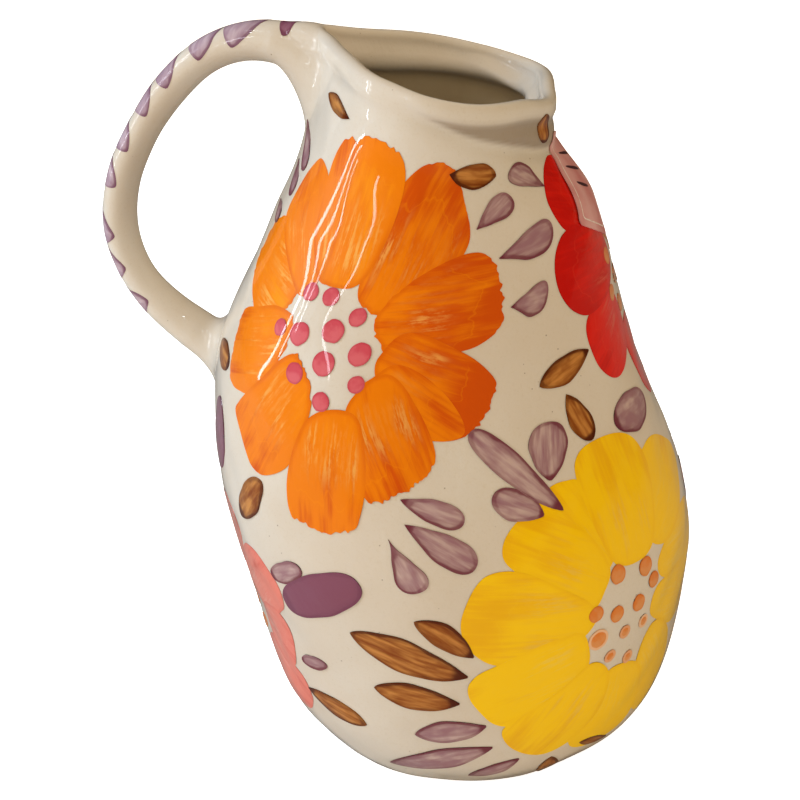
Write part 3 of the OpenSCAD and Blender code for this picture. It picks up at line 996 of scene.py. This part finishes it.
    film("purple_drops", strokes_at([
        (SIDE, [
            ((46, 72), (35, 62), 10), ((64, 57), (44, 52), 11, DROP, 0.2),
            ((66, 37), (52, 36), 10.5), ((45, 83), (62, 72), 9, DROP, 0.0),
            ((45, -1), (73, -31), 9, (0.4, 0.7), 0.0), ((72, -3), (70, -21), 15, (0.45, 0.8), 0.0),
            ((50, -22), (66, -31), 10, (0.5, 0.8), 0.0),
            ((40, -29), (21, -21), 8.5, (0.45, 0.9), 0.0),
            ((41, -44), (21, -29), 11, (0.45, 1.0), 0.0), ((21, -52), (15, -34), 11, (0.45, 1.6)),
            ((-22, -51), (-40, -60), 7.5, BLOB), ((-22, -91), (-35, -94), 6, DAB, 0.2),
            ((-40, 75), (-61, 84), 5), ((-42, 68), (-54, 75), 5), ((-45, 60), (-56, 64), 5),
        ]),
        (FRONT, [((12, -28), (-13, -28), 13.5, DAB, 0.2)]),
        (FOOT, [
            ((-26, 7), (-1, 13), 10.5, LEAF, 0.2), ((-37, -15), (1, 2), 12, LEAF, 0.2),
            ((-8, -19), (10, -7), 7, LEAF, 0.2),
        ]),
        (HIGH_BACK, [
            ((-30, -6), (-22, -22), 9), ((-8, 2), (-6, -16), 9), ((14, 4), (10, -14), 9),
            ((36, -4), (26, -20), 9),
        ]),
        (GAP, [((-2, 30), (-10, 10), 11), ((10, 12), (-4, -2), 10), ((16, -8), (-2, -14), 10)]),
        (BACK, [((62, 30), (50, 22), 9), ((64, 8), (50, 4), 10)]),
        (LOW_GAP, [((-24, 10), (-4, 18), 10, LEAF, 0.2), ((-20, -10), (4, -2), 10, LEAF, 0.2)]),
        (UNDER, [((-4, 26), (-12, 6), 11), ((12, 22), (2, 2), 11), ((-2, -8), (-14, -24), 10)]),
        (LOW_SIDE, [
            ((-36, 56), (-46, 40), 10), ((-52, 34), (-56, 16), 10), ((-46, -24), (-58, -38), 10),
            ((-8, -50), (-30, -56), 10, LEAF, 0.2),
        ]),
    ], DROP, 0.1), purple, OVER_PETALS)
    film("plum_blobs", [
        stroke(SIDE, (1, -51), (-36, -69), 15, BLOB, 0.6),
        stroke(SIDE, (-60, -4), (-72, -32), 14, DAB, 0.3),
    ], plum, OVER_PETALS + 2)
    film("brown_leaves", strokes_at([
        (SIDE, [
            ((39, 81), (23, 83), 10.5), ((-69, 12), (-54, 9), 9, DAB),
            ((-33, -24), (-53, -42), 10, DAB), ((-8, -72), (31, -85), 15),
            ((17, -63), (34, -77), 10, LEAF, 0.0, 1.5), ((-3, -94), (27, -97), 11),
        ]),
        (FRONT, [((-39, -7), (-15, -1), 8.5), ((-30, -12), (-26, -29), 10, (0.9, 0.6))]),
        (FOOT, [((-44, 7), (-71, 13), 9.5), ((22, -12), (20, -30), 8), ((33, -8), (46, -13), 5)]),
        (NECK, [((-24, 20), (-3, 18), 4.6)]),
        (HIGH_BACK, [((-18, 22), (-2, 18), 6), ((24, 16), (26, 0), 8)]),
        (GAP, [((-20, -10), (-36, -26), 9), ((-12, -20), (-16, -42), 10)]),
        (BACK, [((60, -14), (72, -34), 9), ((48, -30), (54, -52), 10)]),
        (LOW_GAP, [((20, 12), (10, -10), 9)]),
        (LOW_SIDE, [
            ((-18, 46), (-22, 64), 9), ((-50, 6), (-60, -12), 9), ((14, -46), (30, -58), 9),
        ]),
        (UNDER, [((-20, 24), (-30, 8), 8), ((8, -20), (-2, -42), 10)]),
        (SPOUT, [((0, 11), (-1, -1.5), 9, DAB)]),
    ], LEAF, 0.0), brown, OVER_PETALS)
    return plum


# Distances along the handle, from its upper blend, of the dabs on its outer side
HANDLE_DABS = (-6, 10, 24, 41, 55, 71, 86, 106, 119, 134)


def handle_painting(rings, first_row, plum):
    dabs = [stroke(handle_place(rings, first_row, distance), (8, -3), (-11, 4.5), 12.5,
                   (0.55, 0.75), 0.1) for distance in HANDLE_DABS]
    dabs[0].update(root=(10, -1), tip=(-6, 2), width=10)
    film("handle_top_dab", dabs[:1], plum, first_layer=3, spacing=1.0)
    mauve = drop_paint("mauve_paint", (122, 80, 100), (168, 140, 154), (204, 184, 190), 0.9)
    film("handle_dabs", dabs[1:], mauve, first_layer=3, spacing=1.0)


# ---------------------------------------------------------------- label and foot
def shop_label(material, ink):
    """A sticker with rounded corners, a plain border line and three plain bars."""
    c, d = cos(radians(LABEL_TILT)), sin(radians(LABEL_TILT))

    def place(x, y, lift):
        s = LABEL_HEIGHT + 0.9 * (y * c - x * d) / VESSEL_H
        neck_r = BELLY_R * np.interp(s, (0.81, 0.97), (0.67, 0.453))
        a = LABEL_ANGLE + np.degrees((x * c + y * d) / neck_r)
        peel = 1.2 * ease((-x - LABEL_W * 0.1) / LABEL_W) * ease(0.5 - 2 * y / LABEL_H)
        return skin(s, a, lift + peel), out_of(skin, s, a)

    def rounded(width, height, radius, count=10):
        corners = [(width / 2 - radius, height / 2 - radius, 0),
                   (radius - width / 2, height / 2 - radius, 90),
                   (radius - width / 2, radius - height / 2, 180),
                   (width / 2 - radius, radius - height / 2, 270)]
        loop = [(x + radius * cos(radians(t)), y + radius * sin(radians(t)))
                for x, y, start in corners for t in np.linspace(start, start + 90, count)]
        closed = np.array(loop + loop[:1])
        steps = walked(closed)
        at = np.linspace(0, steps[-1], int(steps[-1] / 0.9) + 1)[:-1]
        return np.stack([np.interp(at, steps, closed[:, k]) for k in (0, 1)], -1)

    flat, triangles, _ = fill(rounded(LABEL_W, LABEL_H, 2.0), 1.8)
    top, _ = place(flat[:, 0], flat[:, 1], LABEL_GAP + LABEL_T)
    bottom, _ = place(flat[:, 0], flat[:, 1], LABEL_GAP)
    faces = sheet_faces(triangles, len(flat))
    label = make_object("shop_label", np.concatenate([top, bottom]), faces, material)
    label.data.set_sharp_from_angle(angle=radians(40))
    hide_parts("paper_label")

    # The border is a thin raised band between two rounded loops
    outer = rounded(LABEL_W - 5, LABEL_H - 5, 1.5)
    inner = outer * (1 - 0.5 / np.abs(outer).max(axis=0))
    loops = [place(loop[:, 0], loop[:, 1], LABEL_GAP + LABEL_T + lift)[0]
             for loop, lift in ((outer, -0.05), (outer, 0.03), (inner, 0.03), (inner, -0.05))]
    n = len(outer)
    band = [(i * n + k, i * n + (k + 1) % n, (i + 1) % 4 * n + (k + 1) % n, (i + 1) % 4 * n + k)
            for i in range(4) for k in range(n)]
    make_object("label_border", np.concatenate(loops), band, ink)

    # Three plain bars stand where a shop would write
    def on_label(x, y, lift):
        return place(x, y, lift + LABEL_GAP + LABEL_T)
    dark = Recipe("label_bars", 0.5, Base_Color=colour(84, 44, 54)).material
    film("label_bars", [stroke(on_label, (-half, y), (half, y), 1.6, BLOB)
                        for half, y in ((7.5, 11), (8, 3), (6, -5))], dark)


def foot(material):
    """The CAD foot ring, with softened edges."""
    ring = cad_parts["foot_ring"]
    ring.data.materials.clear()
    ring.data.materials.append(material)
    soften = ring.modifiers.new("soften", "BEVEL")
    soften.width = 0.5 * MM
    soften.segments = 3
    soften.limit_method = "ANGLE"


# ---------------------------------------------------------------- camera, light and floor
TARGET = Vector((0, 0, 0.1297))


def towards(azimuth, elevation):
    a, e = radians(azimuth), radians(elevation)
    return Vector((sin(a) * cos(e), -cos(a) * cos(e), sin(e)))


def camera(azimuth=19.5, elevation=22.9, roll=-3.9, distance=0.480, view_angle=34.1,
           aside=-0.0206):
    back = towards(azimuth, elevation)
    right = Vector((cos(radians(azimuth)), sin(radians(azimuth)), 0))
    up = back.cross(right)
    turn = radians(roll)
    across, above = right * cos(turn) + up * sin(turn), up * cos(turn) - right * sin(turn)
    data = bpy.data.cameras.new("camera")
    data.angle = radians(view_angle)
    data.clip_start = 0.01
    obj = put_in_scene("camera", data)
    axes = Matrix((across, above, back)).transposed().to_4x4()
    obj.matrix_world = Matrix.Translation(TARGET + right * aside + back * distance) @ axes
    bpy.context.scene.camera = obj


def panel(name, azimuth, elevation, distance, width, height, power, tint):
    data = bpy.data.lights.new(name, "AREA")
    data.shape = "RECTANGLE"
    data.size, data.size_y = width, height
    data.energy = power
    data.color = tint[:3]
    obj = put_in_scene(name, data)
    way = towards(azimuth, elevation)
    obj.location = TARGET + way * distance
    obj.rotation_euler = way.to_track_quat("Z", "Y").to_euler()
    return obj


WARM_STRENGTH = 0.69     # warm light from all round


def studio():
    white, cool = colour(236, 244, 255), colour(122, 196, 255)
    for name, azimuth, elevation, width, height, power in [
            ("window_left", -74, 18, 0.05, 0.85, 3.4), ("window_middle", -68, 22, 0.03, 0.70, 1.6),
            ("window_right", -63, 25, 0.02, 0.45, 0.7), ("window_front", -38, 26, 0.04, 0.50, 1.2),
            ("lamp_left", -52, 52, 0.03, 0.03, 0.25), ("lamp_middle", -25, 60, 0.03, 0.03, 0.25),
            ("lamp_right", 22, 58, 0.03, 0.03, 0.25), ("lamp_low", 35, 40, 0.025, 0.025, 0.15),
            ("ceiling_strip", -40, 62, 0.90, 0.03, 2.0)]:
        panel(name, azimuth, elevation, 1.4, width, height, power, white)
    panel("soft_left", -94, 34, 1.6, 1.2, 1.2, 13, cool).visible_glossy = False
    world = bpy.data.worlds.new("studio")
    bpy.context.scene.world = world
    world.use_nodes = True
    # Warm light for the pitcher, and plain white behind it for the camera
    nodes, links = world.node_tree.nodes, world.node_tree.links
    seen, tint = nodes.new("ShaderNodeLightPath"), nodes.new("ShaderNodeMix")
    tint.data_type = "RGBA"
    warm = [WARM_STRENGTH * v for v in colour(255, 229, 190)[:3]]
    tint.inputs[6].default_value = (*warm, 1)
    tint.inputs[7].default_value = (1, 1, 1, 1)
    links.new(seen.outputs[0], tint.inputs[0])
    links.new(tint.outputs[2], nodes["Background"].inputs["Color"])
    world.cycles_visibility.glossy = False
    bpy.context.scene.view_settings.view_transform = "Standard"


FLOOR_SEEN, FLOOR_GLOW = 0.9, 0.1    # light from the floor to the camera, and to the pitcher


def floor():
    size = 8.0
    mesh = bpy.data.meshes.new("floor")
    mesh.from_pydata([(-size, -size, 0), (size, -size, 0), (size, size, 0), (-size, size, 0)], [],
                     [(0, 1, 2, 3)])
    r = Recipe("floor_paper", 0.9, Specular_IOR_Level=0.1, Emission_Color=(1, 1, 1, 1))
    seen, mirrored = (r.add("ShaderNodeLightPath", {}, output) for output in (0, 3))
    glow = r.plus(r.times(seen, FLOOR_SEEN - FLOOR_GLOW), FLOOR_GLOW)
    r.tree.links.new(r.times(glow, r.plus(1.0, r.times(mirrored, -1.0))),
                     r.shader.inputs["Emission Strength"])
    cloud = r.noise(r.add("ShaderNodeTexCoord", {}, output=3), 3.0, 2.0)
    paper = r.mix(cloud, (252, 252, 252), (250, 250, 250))
    mesh.materials.append(r.done(r.mix(mirrored, paper, (140, 136, 130))))
    obj = put_in_scene("floor", mesh)


# ---------------------------------------------------------------- the scene
camera()
studio()
floor()
cream = glaze()
pitcher_body(cream)
grip, grip_first_row = handle_rings()
pitcher_handle(grip, cream)
foot(bare_clay())
shop_label(label_paper(), label_ink())
handle_painting(grip, grip_first_row, pitcher_painting())

bpy.context.view_layer.update()
